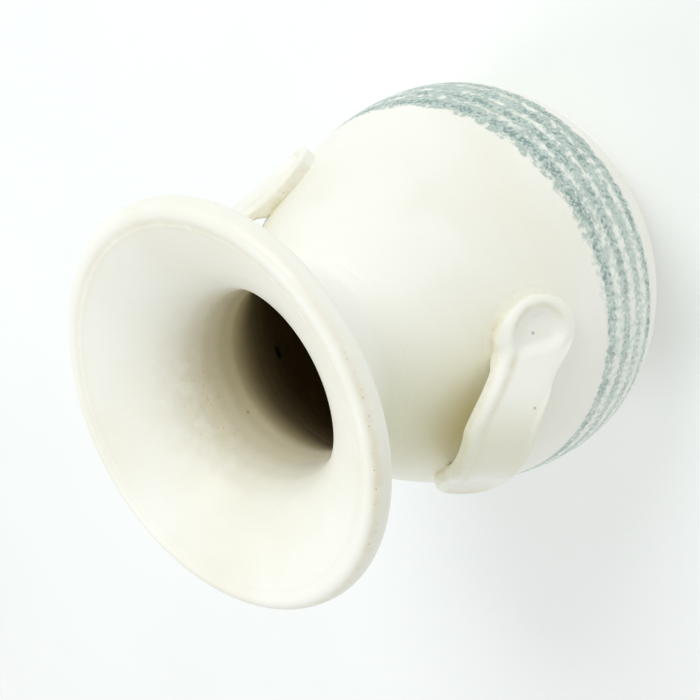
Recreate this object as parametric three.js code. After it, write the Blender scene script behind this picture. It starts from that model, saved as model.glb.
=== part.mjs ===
// A hand-thrown ceramic vase: a round belly on a turned foot, a narrow throat, a wide trumpet mouth with a
// rolled lip, a band of slip rows inlaid round the belly and two thumb-pressed strap lugs on the shoulder.
// Millimetres, +Z up, origin at the centre of the foot, the two lugs on the X axis.
import * as THREE from "three";
import { mergeVertices } from "three/addons/utils/BufferGeometryUtils.js";

// Whole vessel
const TOTAL_HEIGHT = 210;
const WALL = 6.5;
const FIT_GAP = 0.3; // clearance between two pieces that seat on each other
const TURN_FACETS = 48; // facets once round the axis

// Foot and floor
const FOOT_RADIUS = 48;
const FOOT_HEIGHT = 4;
const FOOT_RING_WIDTH = 8;
const FOOT_RECESS = 4;
const FOOT_BEVEL = 1.2;
const FLOOR_THICKNESS = 8;
const FLOOR_FLAT_RADIUS = 30;

// Belly and shoulder
const BELLY_RADIUS = 79.4;
const BELLY_HEIGHT = 68;
const LOWER_BELLY_SLOPE_OUT = 14; // reach of the curve as it leaves the foot
const LOWER_BELLY_SLOPE_UP = 22;
const LOWER_BELLY_FULLNESS = 16; // upright reach of the curve below the widest circle
const SHOULDER_FULLNESS = 25; // upright reach of the curve above the widest circle
const SHOULDER_SLOPE_OUT = 22.4; // reach of the curve as it arrives at the neck joint
const SHOULDER_SLOPE_DOWN = 35;
const BELLY_STEPS = 8;
const SHOULDER_STEPS = 9;
const INSIDE_STEPS = 14;

// Neck joint: the neck ring sits on a bevelled seat, bedded on soft clay
const NECK_HEIGHT = 52; // neck joint to the lip crest
const JOINT_HEIGHT = TOTAL_HEIGHT - NECK_HEIGHT;
const JOINT_RADIUS = 40.5;
const JOINT_SEAT_RISE = 3; // the seat climbs inwards, so that the neck cannot slide off
const LUTING_THICKNESS = 0.9;

// Neck, trumpet mouth and lip
const THROAT_RADIUS = 30.5;
const THROAT_DEPTH = 43; // throat below the lip crest
const NECK_WALL = 5.5;
const FLARE_EDGE_WALL = 5;
const COLLAR_REACH = 5;
const LIP_RADIUS = 66;
const LIP_CREST_RADIUS = 61.8;
const LIP_SIDE = 5; // from the crest down to the widest edge of the lip
const LIP_UNDERCUT = 3; // from the widest edge down to the underside of the flare
const CREASE_RADIUS = 58.8;
const CREASE_DROP = 1.7; // bottom of the crease below the crest
const CREASE_WIDTH = 1.2;
const CREASE_DEPTH = 0.6;
const COLLAR_STEPS = 4;
const FLARE_STEPS = 7;
const LIP_STEPS = 4;

// Slip band: rows counted from the mouth side down
const BAND_ABOVE_BELLY = 24.6; // top edge of the band above the widest circle
const ROW_WIDTHS = [5.4, 5.0, 4.8, 4.6];
const ROW_SPACE = 2.2;
const SLIP_DEPTH = 1.2;

// Strap lugs
const LUG_BELOW_JOINT = 36.5;
const LUG_HEIGHT = JOINT_HEIGHT - LUG_BELOW_JOINT; // thumb presses above the foot
const LUG_SPAN = 62.2; // between the two thumb presses of a lug
const LUG_RISE = 14.4; // strap middle above the thumb presses, measured on the shoulder
const LUG_CLIMB = 26; // length in which the strap climbs from a thumb press
const STRAP_WIDTH = 27;
const STRAP_THICKNESS = 6;
const STRAP_HOLLOW = 1; // shallow channel along the outside of the strap
const STRAP_STAND_OFF = 13; // middle of the strap from the shoulder
const ARCH_FULLNESS = 1.25; // above 1 the arch is flat on top and steep at its ends
const STRAP_LEAN = 26; // degrees from upright at the middle of the strap
const PRESS_WIDTH = 29.6;
const PRESS_THICKNESS = 5;
const PRESS_REACH = 12.5; // rounded end beyond the thumb press
const PRESS_LIFT = 2.3; // middle of the strap from the shoulder at a thumb press
const DISH_DIAMETER = 20;
const DISH_DEPTH = 1.8;
const DISH_FLAT = 0.6; // share of the dish that is flat
const STEP_PLACE = 3.5; // from the middle of the dish to the step up to the strap
const STEP_LENGTH = 2.4;
const DISH_RIM = 0.8; // raised rim round the dish
const DISH_RIM_SPREAD = 0.22;
const BED_THICKNESS = 0.6;
const BED_DIAMETER = 21;
const END_ROUNDING = 0.55; // share of the strap's thickness left at the very end
const LUG_STATIONS = 52;
const BED_SPOKES = 16;
const FACE_SHARES = [1, 0.95, 0.8, 0.6, 0.4, 0.2, 0, -0.2, -0.4, -0.6, -0.8, -0.95, -1];
const UNDER_SHARES = [-0.85, -0.45, 0, 0.45, 0.85];

const NOTHING = 1e-9;
const HALVINGS = 40;

const vec2 = (radius, height) => new THREE.Vector2(radius, height);
const { lerp, smoothstep, degToRad } = THREE.MathUtils;

// Closed mesh with shared vertices and no triangle that has collapsed to a line.
function weld(geometry) {
  const bare = geometry.clone();
  bare.deleteAttribute("normal");
  bare.deleteAttribute("uv");
  const merged = mergeVertices(bare, 1e-4);
  const kept = [];
  const corners = merged.index.array;
  for (let first = 0; first < corners.length; first += 3) {
    const [a, b, c] = corners.slice(first, first + 3);
    if (a !== b && b !== c && c !== a) kept.push(a, b, c);
  }
  merged.setIndex(kept);
  return merged;
}

// Profile of radius and height turned once round Z. It runs up the outside and down the inside.
function turn(profile) {
  const geometry = new THREE.LatheGeometry(profile, TURN_FACETS);
  geometry.rotateX(Math.PI / 2);
  return weld(geometry);
}

// Outside of the clay wall: foot to belly, then belly to the neck joint.
const lowerBelly = new THREE.CubicBezierCurve(
  vec2(FOOT_RADIUS, FOOT_HEIGHT),
  vec2(FOOT_RADIUS + LOWER_BELLY_SLOPE_OUT, FOOT_HEIGHT + LOWER_BELLY_SLOPE_UP),
  vec2(BELLY_RADIUS, BELLY_HEIGHT - LOWER_BELLY_FULLNESS),
  vec2(BELLY_RADIUS, BELLY_HEIGHT),
);
const shoulder = new THREE.CubicBezierCurve(
  vec2(BELLY_RADIUS, BELLY_HEIGHT),
  vec2(BELLY_RADIUS, BELLY_HEIGHT + SHOULDER_FULLNESS),
  vec2(JOINT_RADIUS + SHOULDER_SLOPE_OUT, JOINT_HEIGHT - SHOULDER_SLOPE_DOWN),
  vec2(JOINT_RADIUS, JOINT_HEIGHT),
);

// Point of the outside wall at a height, moved off the wall along its normal.
function wallPoint(height, offset) {
  const curve = height < BELLY_HEIGHT ? lowerBelly : shoulder;
  let low = 0;
  let high = 1;
  for (let step = 0; step < HALVINGS; step += 1) {
    const middle = (low + high) / 2;
    if (curve.getPoint(middle).y < height) low = middle;
    else high = middle;
  }
  const point = curve.getPoint(low);
  const along = curve.getTangent(low);
  return { at: vec2(point.x + along.y * offset, point.y - along.x * offset), along };
}

const wallRadius = (height) => wallPoint(height, 0).at.x;

// Heights from one end to the other in even steps, without the two ends.
function between(from, to, steps) {
  return Array.from({ length: steps - 1 }, (_, index) => lerp(from, to, (index + 1) / steps));
}

// Rows of the slip band, from the lowest up, each with its lower and upper edge.
function slipRows() {
  let upper = BELLY_HEIGHT + BAND_ABOVE_BELLY;
  const rows = ROW_WIDTHS.map((width, index) => {
    const row = { name: `slip_row_${index + 1}`, lower: upper - width, upper };
    upper -= width + ROW_SPACE;
    return row;
  });
  return rows.reverse();
}

const rows = slipRows();

// Seat of the neck joint: a bevel from the outside of the wall up to the inside.
const jointInside = JOINT_RADIUS - WALL;
const seat = (lift) => [
  vec2(JOINT_RADIUS, JOINT_HEIGHT + lift),
  vec2(jointInside, JOINT_HEIGHT + JOINT_SEAT_RISE + lift),
];
const lutingFoot = FIT_GAP;
const lutingTop = lutingFoot + LUTING_THICKNESS;
const neckFoot = lutingTop + FIT_GAP;

// The thrown body: foot ring, belly and shoulder, with a groove for each slip row.
function thrownBody() {
  const ringInside = FOOT_RADIUS - FOOT_RING_WIDTH;
  const profile = [
    vec2(0, FOOT_RECESS),
    vec2(ringInside - FOOT_BEVEL, FOOT_RECESS),
    vec2(ringInside, FOOT_BEVEL),
    vec2(ringInside + FOOT_BEVEL, 0),
    vec2(FOOT_RADIUS - FOOT_BEVEL, 0),
    vec2(FOOT_RADIUS, FOOT_BEVEL),
    vec2(FOOT_RADIUS, FOOT_HEIGHT),
  ];
  const onWall = (height) => profile.push(vec2(wallRadius(height), height));
  const inGroove = (height) => profile.push(vec2(wallRadius(height) - SLIP_DEPTH, height));
  between(FOOT_HEIGHT, rows[0].lower, BELLY_STEPS).forEach(onWall);
  for (const row of rows) {
    onWall(row.lower);
    inGroove(row.lower);
    inGroove(row.upper);
    onWall(row.upper);
  }
  between(rows.at(-1).upper, JOINT_HEIGHT, SHOULDER_STEPS).forEach(onWall);
  profile.push(...seat(0));
  const floor = FOOT_RECESS + FLOOR_THICKNESS;
  const lowestInside = wallPoint(FOOT_HEIGHT + floor, -WALL).at;
  between(JOINT_HEIGHT, FOOT_HEIGHT + floor, INSIDE_STEPS).forEach((height) => {
    profile.push(wallPoint(height, -WALL).at);
  });
  profile.push(lowestInside, vec2(FLOOR_FLAT_RADIUS, floor), vec2(0, floor));
  return turn(profile);
}

// A slip row fills its groove flush with the wall.
function slipRow({ lower, upper }) {
  const bottom = lower + FIT_GAP;
  const top = upper - FIT_GAP;
  const inset = SLIP_DEPTH - FIT_GAP;
  const profile = [
    vec2(wallRadius(bottom) - inset, bottom),
    vec2(wallRadius(bottom), bottom),
    vec2(wallRadius(top), top),
    vec2(wallRadius(top) - inset, top),
    vec2(wallRadius(bottom) - inset, bottom),
  ];
  return turn(profile);
}

// The ring of soft clay that beds the neck on the body.
function lutingRing() {
  const below = seat(lutingFoot);
  const above = seat(lutingTop);
  return turn([below[1], below[0], above[0], above[1], below[1]]);
}

// The rolled lip, from the underside of the flare round the edge and over the crest into the crease.
function lipProfile() {
  const edgeHeight = TOTAL_HEIGHT - LIP_SIDE;
  const sideReach = LIP_RADIUS - LIP_CREST_RADIUS;
  const creaseReach = LIP_CREST_RADIUS - CREASE_RADIUS;
  const quarter = Math.PI / 2;
  const arc = (height, across, up, from, to) => {
    const curve = new THREE.EllipseCurve(LIP_CREST_RADIUS, height, across, up, from, to, from > to);
    return curve.getPoints(LIP_STEPS);
  };
  return [
    ...arc(edgeHeight, sideReach, LIP_UNDERCUT, -quarter, 0),
    ...arc(edgeHeight, sideReach, LIP_SIDE, 0, quarter).slice(1),
    ...arc(TOTAL_HEIGHT - CREASE_DROP, creaseReach, CREASE_DROP, quarter, 2 * quarter).slice(1),
  ];
}

// The neck: a collar that draws in from the joint, a trumpet flare and a rolled lip with a crease inside.
function neckAndRim() {
  const throatHeight = TOTAL_HEIGHT - THROAT_DEPTH;
  const flareTop = TOTAL_HEIGHT - CREASE_DROP + CREASE_DEPTH;
  const flareThird = (flareTop - throatHeight) / 3;
  const funnel = new THREE.CubicBezierCurve(
    vec2(THROAT_RADIUS, throatHeight),
    vec2(THROAT_RADIUS, throatHeight + flareThird),
    vec2(THROAT_RADIUS, flareTop - flareThird),
    vec2(CREASE_RADIUS - CREASE_WIDTH, flareTop),
  );
  const [seatOutside, seatInside] = seat(neckFoot);
  const shoulderEnd = shoulder.getTangent(1).multiplyScalar(COLLAR_REACH);
  const collar = new THREE.CubicBezierCurve(
    seatOutside,
    seatOutside.clone().add(shoulderEnd),
    vec2(THROAT_RADIUS + NECK_WALL, throatHeight - COLLAR_REACH),
    vec2(THROAT_RADIUS + NECK_WALL, throatHeight),
  );
  const underside = between(0, 1, FLARE_STEPS).map((t) => {
    const point = funnel.getPoint(t);
    const along = funnel.getTangent(t);
    const thickness = lerp(NECK_WALL, FLARE_EDGE_WALL, t);
    return vec2(point.x + along.y * thickness, point.y - along.x * thickness);
  });
  const throatInside = new THREE.QuadraticBezierCurve(
    vec2(THROAT_RADIUS, throatHeight),
    vec2(THROAT_RADIUS, lerp(throatHeight, seatInside.y, 0.5)),
    seatInside,
  );
  const profile = [
    ...collar.getPoints(COLLAR_STEPS),
    ...underside,
    ...lipProfile(),
    ...funnel.getPoints(FLARE_STEPS).reverse(),
    ...throatInside.getPoints(COLLAR_STEPS).slice(1),
    seatOutside,
  ];
  return turn(profile);
}

// Where the lug sits: thumb presses on a circle of the shoulder, either side of the lug's middle.
const pressRadius = wallRadius(LUG_HEIGHT);
const pressAngle = Math.asin(LUG_SPAN / 2 / pressRadius);
const lugEndAngle = pressAngle + PRESS_REACH / pressRadius;
const bedFoot = FIT_GAP;
const bedTop = bedFoot + BED_THICKNESS;
const lugFoot = bedTop + FIT_GAP;

// Point off the shoulder at an angle round the axis.
function shoulderPoint(angle, height, offset) {
  const { at } = wallPoint(height, offset);
  return new THREE.Vector3(at.x * Math.cos(angle), at.x * Math.sin(angle), at.y);
}

// How far the strap has climbed the shoulder from a thumb press, 0, to the middle of the lug, 1.
function strapClimb(angle) {
  return smoothstep((pressAngle - Math.abs(angle)) * pressRadius, 0, LUG_CLIMB);
}

// How far the strap has arched off the shoulder, from 0 at a thumb press to 1 at the middle.
function strapArch(angle) {
  const share = Math.min(Math.abs(angle) / pressAngle, 1);
  return (1 + Math.cos(Math.PI * share ** ARCH_FULLNESS)) / 2;
}

// Middle line of the strap, as radius and height.
function strapMiddle(angle) {
  const standOff = lerp(PRESS_LIFT, STRAP_STAND_OFF, strapArch(angle));
  return wallPoint(LUG_HEIGHT + LUG_RISE * strapClimb(angle), standOff).at;
}

// Half the strap's width: wide and round at the thumb presses, narrower between them.
function strapHalfWidth(angle) {
  const reach = lugEndAngle - pressAngle;
  const beyond = Math.max(Math.abs(angle) - pressAngle, 0) / reach;
  const toPress = smoothstep(Math.abs(angle), pressAngle / 3, pressAngle);
  const width = lerp(STRAP_WIDTH, PRESS_WIDTH, toPress);
  return (width / 2) * Math.sqrt(Math.max(1 - beyond * beyond, NOTHING));
}

// Distance of a point of radius and height from the shoulder, along the shoulder's normal.
function clearOfShoulder(point) {
  const { at, along } = wallPoint(point.y, 0);
  return (point.x - at.x) * along.y;
}

// Relief of the strap's outer face. Each end has a thumb dish with a raised rim, closed by a step where the
// strap begins. Between the two steps a shallow channel runs along the strap.
function faceRelief(angle, sideways) {
  const fromPress = (pressAngle - Math.abs(angle)) * pressRadius;
  const fromCentre = Math.hypot(fromPress, sideways) / (DISH_DIAMETER / 2);
  const onStrap = smoothstep(fromPress - STEP_PLACE, -STEP_LENGTH / 2, STEP_LENGTH / 2);
  const dish = DISH_DEPTH * (1 - smoothstep(fromCentre, DISH_FLAT, 1));
  const rim = DISH_RIM * Math.exp(-(((fromCentre - 1) / DISH_RIM_SPREAD) ** 2));
  const channel = STRAP_HOLLOW * Math.max(1 - (2 * sideways / STRAP_WIDTH) ** 2, 0);
  return lerp(rim - dish, -channel * smoothstep(fromPress, STEP_PLACE, DISH_DIAMETER), onStrap);
}

// One rounded section of the strap, in the upright plane at an angle round the axis: over the outer face,
// then back along the underside, which stays clear of the shoulder.
function strapSection(angle) {
  const arch = strapArch(angle);
  const foot = wallPoint(LUG_HEIGHT + LUG_RISE * strapClimb(angle), 0);
  const middle = strapMiddle(angle);
  const lean = lerp(Math.atan2(-foot.along.x, foot.along.y), degToRad(STRAP_LEAN), arch);
  const across = vec2(-Math.sin(lean), Math.cos(lean));
  const outward = vec2(Math.cos(lean), Math.sin(lean));
  const halfWidth = strapHalfWidth(angle);
  const roundedEnd = Math.min(1, END_ROUNDING + halfWidth / STRAP_WIDTH);
  const halfThickness = (lerp(PRESS_THICKNESS, STRAP_THICKNESS, arch) / 2) * roundedEnd;
  const pointAt = (share, face) => {
    const bulge = (1 - share ** 4) ** 0.25;
    const relief = face > 0 ? faceRelief(angle, share * halfWidth) * bulge : 0;
    const point = middle.clone().addScaledVector(across, share * halfWidth);
    point.addScaledVector(outward, face * halfThickness * bulge + relief);
    point.addScaledVector(outward, Math.max(lugFoot - clearOfShoulder(point), 0));
    return new THREE.Vector3(point.x * Math.cos(angle), point.x * Math.sin(angle), point.y);
  };
  const overFace = FACE_SHARES.map((share) => pointAt(share, 1));
  const underneath = UNDER_SHARES.map((share) => pointAt(share, -1));
  return [...overFace, ...underneath];
}

function strapSections() {
  return Array.from({ length: LUG_STATIONS }, (_, station) => {
    const share = (2 * (station + 0.5)) / LUG_STATIONS - 1;
    return strapSection(share * lugEndAngle);
  });
}

// Skin through sections with equal numbers of corners, closed by a fan at each end.
function skin(sections) {
  const count = sections[0].length;
  const positions = sections.flat().flatMap((point) => point.toArray());
  const faces = [];
  sections.slice(1).forEach((_, index) => {
    for (let corner = 0; corner < count; corner += 1) {
      const a = index * count + corner;
      const b = index * count + ((corner + 1) % count);
      faces.push(a, b, b + count, a, b + count, a + count);
    }
  });
  const centreOf = (section) => {
    const sum = section.reduce((total, point) => total.add(point), new THREE.Vector3());
    return sum.divideScalar(count);
  };
  const lastRing = (sections.length - 1) * count;
  const firstCentre = positions.length / 3;
  positions.push(...centreOf(sections[0]).toArray(), ...centreOf(sections.at(-1)).toArray());
  for (let corner = 0; corner < count; corner += 1) {
    const next = (corner + 1) % count;
    faces.push(firstCentre, next, corner);
    faces.push(firstCentre + 1, lastRing + corner, lastRing + next);
  }
  const geometry = new THREE.BufferGeometry();
  geometry.setAttribute("position", new THREE.Float32BufferAttribute(positions, 3));
  geometry.setIndex(faces);
  return geometry;
}

// Bed of slip under one end of the lug: a thin round patch that follows the shoulder.
function slipBed(side) {
  const patch = (offset, share) => {
    const ring = [];
    for (let spoke = 0; spoke < BED_SPOKES; spoke += 1) {
      const bearing = (spoke / BED_SPOKES) * 2 * Math.PI;
      const reach = (BED_DIAMETER / 2) * share;
      const angle = side * pressAngle + (Math.cos(bearing) * reach) / pressRadius;
      const rise = Math.sin(bearing) * reach * wallPoint(LUG_HEIGHT, 0).along.y;
      ring.push(shoulderPoint(angle, LUG_HEIGHT + rise, offset));
    }
    return ring;
  };
  return skin([patch(bedFoot, 0.5), patch(bedFoot, 1), patch(bedTop, 1), patch(bedTop, 0.5)]);
}

function clay(color, roughness) {
  return new THREE.MeshStandardMaterial({ color, roughness, metalness: 0 });
}

const vase = new THREE.Group();

function add(name, geometry, material, parent = vase) {
  const mesh = new THREE.Mesh(geometry, material);
  mesh.name = name;
  parent.add(mesh);
}

const CREAM_GLAZE = 0xece8dc;
const BARE_CLAY = 0xe2d6bf;
const BLUE_SLIP = 0x8fa5a3;

add("thrown_body", thrownBody(), clay(CREAM_GLAZE, 0.5));
add("neck_luting_ring", lutingRing(), clay(BARE_CLAY, 0.8));
add("neck_and_rim", neckAndRim(), clay(CREAM_GLAZE, 0.45));
rows.forEach((row) => add(row.name, slipRow(row), clay(BLUE_SLIP, 0.6)));

for (const [lugName, bearing] of [["right_lug", Math.PI], ["left_lug", 0]]) {
  const place = new THREE.Group();
  place.rotation.z = bearing;
  vase.add(place);
  add(lugName, skin(strapSections()), clay(CREAM_GLAZE, 0.5), place);
  add(`${lugName}_bed_a`, slipBed(-1), clay(BARE_CLAY, 0.8), place);
  add(`${lugName}_bed_b`, slipBed(1), clay(BARE_CLAY, 0.8), place);
}

export default vase;
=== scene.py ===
# %% [markdown]
# A hand-thrown ceramic vase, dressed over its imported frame. The frame gives the places and the main sizes.
# The looks are surfaces written as formulas, and materials made of nodes.
# Lengths are in millimetres until a mesh is made.

# %% Load the frame
import bpy
import numpy as np
from mathutils import Matrix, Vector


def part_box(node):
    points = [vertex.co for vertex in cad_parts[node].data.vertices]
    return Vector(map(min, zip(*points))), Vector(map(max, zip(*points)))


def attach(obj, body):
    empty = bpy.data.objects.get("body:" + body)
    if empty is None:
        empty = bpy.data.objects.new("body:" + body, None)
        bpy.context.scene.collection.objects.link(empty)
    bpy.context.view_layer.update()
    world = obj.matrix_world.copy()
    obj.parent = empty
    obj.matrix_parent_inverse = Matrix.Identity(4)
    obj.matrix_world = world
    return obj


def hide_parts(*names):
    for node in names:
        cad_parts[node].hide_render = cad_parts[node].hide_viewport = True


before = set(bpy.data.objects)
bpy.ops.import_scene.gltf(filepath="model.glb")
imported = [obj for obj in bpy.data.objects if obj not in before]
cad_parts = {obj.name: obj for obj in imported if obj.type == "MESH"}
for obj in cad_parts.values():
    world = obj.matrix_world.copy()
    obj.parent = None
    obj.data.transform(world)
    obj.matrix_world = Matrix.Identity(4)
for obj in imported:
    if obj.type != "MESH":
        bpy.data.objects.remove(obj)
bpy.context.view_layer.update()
print("frame nodes:", len(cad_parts))

# %% [markdown]
# The few sizes that drive the rest are read from the frame: the height, the belly, the lip, the neck joint
# and the edges of the slip rows. The others say how a potter shaped the clay between them.

# %% Driving sizes
MM = 0.001
FIT_GAP = 0.3


def node_span(node, axis):
    """Lowest and highest place of a CAD node along an axis, in millimetres."""
    low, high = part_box(node)
    return low[axis] / MM, high[axis] / MM


total_height = node_span("neck_and_rim", 2)[1]
belly_radius = node_span("thrown_body", 0)[1]
lip_radius = node_span("neck_and_rim", 0)[1]
joint_height = node_span("neck_luting_ring", 2)[0] - FIT_GAP
joint_radius = node_span("neck_luting_ring", 0)[1]
row_nodes = ["slip_row_1", "slip_row_2", "slip_row_3", "slip_row_4"]
row_edges = np.array([node_span(node, 2) for node in row_nodes]) + [-FIT_GAP, FIT_GAP]

WALL = 6.5
FOOT_RADIUS = 48.0
FOOT_HEIGHT = 4.0
FOOT_RING_WIDTH = 8.0
FOOT_BEVEL = 1.2
GLAZE_LINE = 3.0
FLOOR_HEIGHT = 12.0
FLOOR_FLAT_RADIUS = 30.0
BELLY_HEIGHT = 68.0
JOINT_SEAT_RISE = 3.0
JOINT_SMOOTHING = 12.0
NECK_LIFT = 1.5
THROAT_RADIUS = 30.5
THROAT_DEPTH = 43.0
NECK_WALL = 5.5
FLARE_EDGE_WALL = 5.0
LIP_CREST_RADIUS = 61.8
LIP_SIDE = 5.0
LIP_UNDERCUT = 3.0
CREASE_RADIUS = 58.8
CREASE_DROP = 1.7
CREASE_WIDTH = 1.2
CREASE_DEPTH = 0.6
LUG_BELOW_JOINT = 36.5
LUG_RISE = 14.4
POLE_RADIUS = 1.0
throat_height = total_height - THROAT_DEPTH
lug_height = joint_height - LUG_BELOW_JOINT
print(f"height {total_height:.1f}, belly radius {belly_radius:.1f}, lip radius {lip_radius:.1f}")

# %% [markdown]
# Four small tools serve every piece: a cubic curve, a soft step, a bell curve, and seeded ripples for the
# unevenness that hands leave in clay.

# %% Curves, steps and ripples
RIPPLE_WAVES = 10


def bezier(corners, share):
    """Cubic curve: at each share of the way, the four corners weigh in with their Bernstein weights."""
    share = share[:, None]
    back = 1 - share
    weights = (back**3, 3 * share * back**2, 3 * share**2 * back, share**3)
    return sum(weight * np.array(corner) for weight, corner in zip(weights, corners))


def soft_step(value, start, end):
    """0 before the start, 1 after the end, and three squares minus two cubes of the share between."""
    share = np.clip((value - start) / (end - start), 0, 1)
    return share * share * (3 - 2 * share)


def bump(value, centre, spread):
    """Bell curve: e to the minus square of the distance from the centre, counted in spreads."""
    return np.exp(-(((value - centre) / spread) ** 2))


def ripples(turn, height, rounds, rise, seed):
    """Unevenness of about -1 to 1: a quarter of the sum of ten sine waves that run round and up the vase
    at seeded rates."""
    rng = np.random.default_rng(seed)
    total = 0
    for _ in range(RIPPLE_WAVES):
        round_rate = rng.integers(-rounds, rounds + 1)
        up_rate = rng.uniform(-rise, rise)
        total = total + np.sin(round_rate * turn + up_rate * height + rng.uniform(0, 2 * np.pi))
    return total / 4


# %% [markdown]
# The outside of the clay wall is two cubic curves in radius and height: foot to belly, belly to neck joint.
# It is sampled once, so that any piece can ask for the wall at a height.

# %% The wall
WALL_SAMPLES = 2000
FOOT_FLARE = 14.0
FOOT_FLARE_RISE = 22.0
BELLY_PULL_BELOW = 16.0
BELLY_PULL_ABOVE = 25.0
SHOULDER_SPREAD = 22.4
SHOULDER_DROP = 35.0
INSIDE_PULL = 8.0
lower_belly = [
    (FOOT_RADIUS, FOOT_HEIGHT),
    (FOOT_RADIUS + FOOT_FLARE, FOOT_HEIGHT + FOOT_FLARE_RISE),
    (belly_radius, BELLY_HEIGHT - BELLY_PULL_BELOW),
    (belly_radius, BELLY_HEIGHT),
]
shoulder = [
    (belly_radius, BELLY_HEIGHT),
    (belly_radius, BELLY_HEIGHT + BELLY_PULL_ABOVE),
    (joint_radius + SHOULDER_SPREAD, joint_height - SHOULDER_DROP),
    (joint_radius, joint_height),
]
way = np.linspace(0, 1, WALL_SAMPLES)
wall_line = np.concatenate([bezier(lower_belly, way), bezier(shoulder, way)[1:]])
wall_along = np.gradient(wall_line, axis=0)
wall_along /= np.linalg.norm(wall_along, axis=1)[:, None]


def wall_at(height, offset=0.0):
    """Radius, height and slope of the wall at a height, moved off it along its normal by the offset."""
    radius, along_r, along_z = (
        np.interp(height, wall_line[:, 1], column)
        for column in (wall_line[:, 0], wall_along[:, 0], wall_along[:, 1])
    )
    return radius + along_z * offset, height - along_r * offset, np.arctan2(-along_r, along_z)


# The inside runs in one smooth line from the throat over the joint to the wall below it.
meeting_radius, meeting_height, meeting_slope = wall_at(joint_height - JOINT_SMOOTHING, -WALL)
inner_line = bezier(
    [
        (meeting_radius, meeting_height),
        (
            meeting_radius - INSIDE_PULL * np.sin(meeting_slope),
            meeting_height + INSIDE_PULL * np.cos(meeting_slope),
        ),
        (THROAT_RADIUS, throat_height - INSIDE_PULL),
        (THROAT_RADIUS, throat_height),
    ],
    way,
)


def inside_at(height):
    """Radius of the smoothed inside at a height between the throat and the wall below the joint."""
    return np.interp(height, inner_line[:, 1], inner_line[:, 0])


print(f"wall from {wall_line[0].round(1)} to {wall_line[-1].round(1)}")

# %% [markdown]
# Every piece is a grid of points whose columns go once round. The rows either close on themselves, as in a
# ring, or end in two fans of triangles, as in a pot that meets its axis or a strap that ends.

# %% From grids to meshes
CORNER_ANGLE = np.radians(40)


def close_faces(rows, columns, ring):
    """Quads that join each point to the next column and the next row, and end fans where it is no ring."""
    row = np.arange(rows if ring else rows - 1)[:, None]
    column = np.arange(columns)[None, :]
    next_row = (row + 1) % rows
    next_column = (column + 1) % columns
    corners = np.broadcast_arrays(
        row * columns + column,
        row * columns + next_column,
        next_row * columns + next_column,
        next_row * columns + column,
    )
    quads = np.stack(corners, -1).reshape(-1, 4).tolist()
    if ring:
        return quads
    first = np.arange(columns)
    after = (first + 1) % columns
    last_row = (rows - 1) * columns
    start = np.stack([np.full(columns, rows * columns), after, first], -1)
    end = np.stack([np.full(columns, rows * columns + 1), last_row + first, last_row + after], -1)
    return quads + start.tolist() + end.tolist()


def make_piece(name, grid, material, slot_name, nodes, ring=False, **marks):
    """A closed mesh from a grid of points, smooth but for its corners. Each mark is a value per point."""
    rows, columns = grid.shape[:2]

    def with_ends(values):
        flat = values.reshape(rows * columns, -1)
        if ring:
            return flat
        return np.concatenate([flat, values[[0, -1]].mean(1).reshape(2, -1)])

    mesh = bpy.data.meshes.new(name)
    mesh.from_pydata(with_ends(grid) * MM, [], close_faces(rows, columns, ring))
    mesh.polygons.foreach_set("use_smooth", np.ones(len(mesh.polygons), bool))
    mesh.set_sharp_from_angle(angle=CORNER_ANGLE)
    for mark, values in marks.items():
        layer = mesh.attributes.new(mark, "FLOAT", "POINT")
        shown = np.broadcast_to(values, (rows, columns)).astype(np.float32)
        layer.data.foreach_set("value", with_ends(shown).ravel())
    mesh.materials.append(material)
    piece = bpy.data.objects.new(name, mesh)
    bpy.context.scene.collection.objects.link(piece)
    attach(piece, "root")
    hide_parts(*nodes)
    print(f"{name}: {len(mesh.vertices)} points, {len(mesh.polygons)} faces")
    return piece


def revolve(radius, height, turn):
    """Surface of revolution: radius times cosine and sine of the turn, and the height."""
    radius, height, turn = np.broadcast_arrays(radius, height, turn)
    return np.stack([radius * np.cos(turn), radius * np.sin(turn), height], -1)


# %% [markdown]
# Three materials. The glaze is cream with soft beige mottling, fine iron specks and a satin skin. It thins
# to a toasted tone on edges; in the crease and on the lip's outer side that toast is partly painted shade.
# It also carries painted shade: a warm tone above and on the lugs, olive behind the straps and down the
# throat, and a dark tone deep inside. The slip is the same glaze with blue-grey marks on it, paler on one
# side, which is partly painted light. The foot is bare buff clay. Where a tone belongs to a place on the
# vase, the mesh carries a mark, a value per point, and the nodes read it.

# %% Material tools
CHOICE_EDGE = 0.001
DOT_CORE = 0.6


def tone(red, green, blue):
    """Linear colour of a tone that is written in 0 to 255 screen values."""
    share = np.array([red, green, blue]) / 255
    linear = np.where(share <= 0.04045, share / 12.92, ((share + 0.055) / 1.055) ** 2.4)
    return (*linear.tolist(), 1.0)


def add_node(tree, kind, inputs, **settings):
    """A shader node with its settings; each input takes a value, or a link from another node's output."""
    made = tree.nodes.new(kind)
    for key, value in settings.items():
        setattr(made, key, value)
    for socket, value in inputs.items():
        if isinstance(value, bpy.types.NodeSocket):
            tree.links.new(value, made.inputs[socket])
        else:
            made.inputs[socket].default_value = value
    return made


def blend(tree, factor, first, second):
    """Colour between two colours by a factor."""
    made = add_node(tree, "ShaderNodeMix", {0: factor, 6: first, 7: second}, data_type="RGBA")
    return made.outputs[2]


def spread(tree, value, low, high, to_low=0.0, to_high=1.0):
    """Value brought from one range to another, with soft ends."""
    sockets = {"Value": value, "From Min": low, "From Max": high, "To Min": to_low, "To Max": to_high}
    made = add_node(tree, "ShaderNodeMapRange", sockets, interpolation_type="SMOOTHSTEP")
    return made.outputs["Result"]


def times(tree, first, second):
    """Product of two values."""
    made = add_node(tree, "ShaderNodeMath", {0: first, 1: second}, operation="MULTIPLY")
    return made.outputs["Value"]


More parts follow.
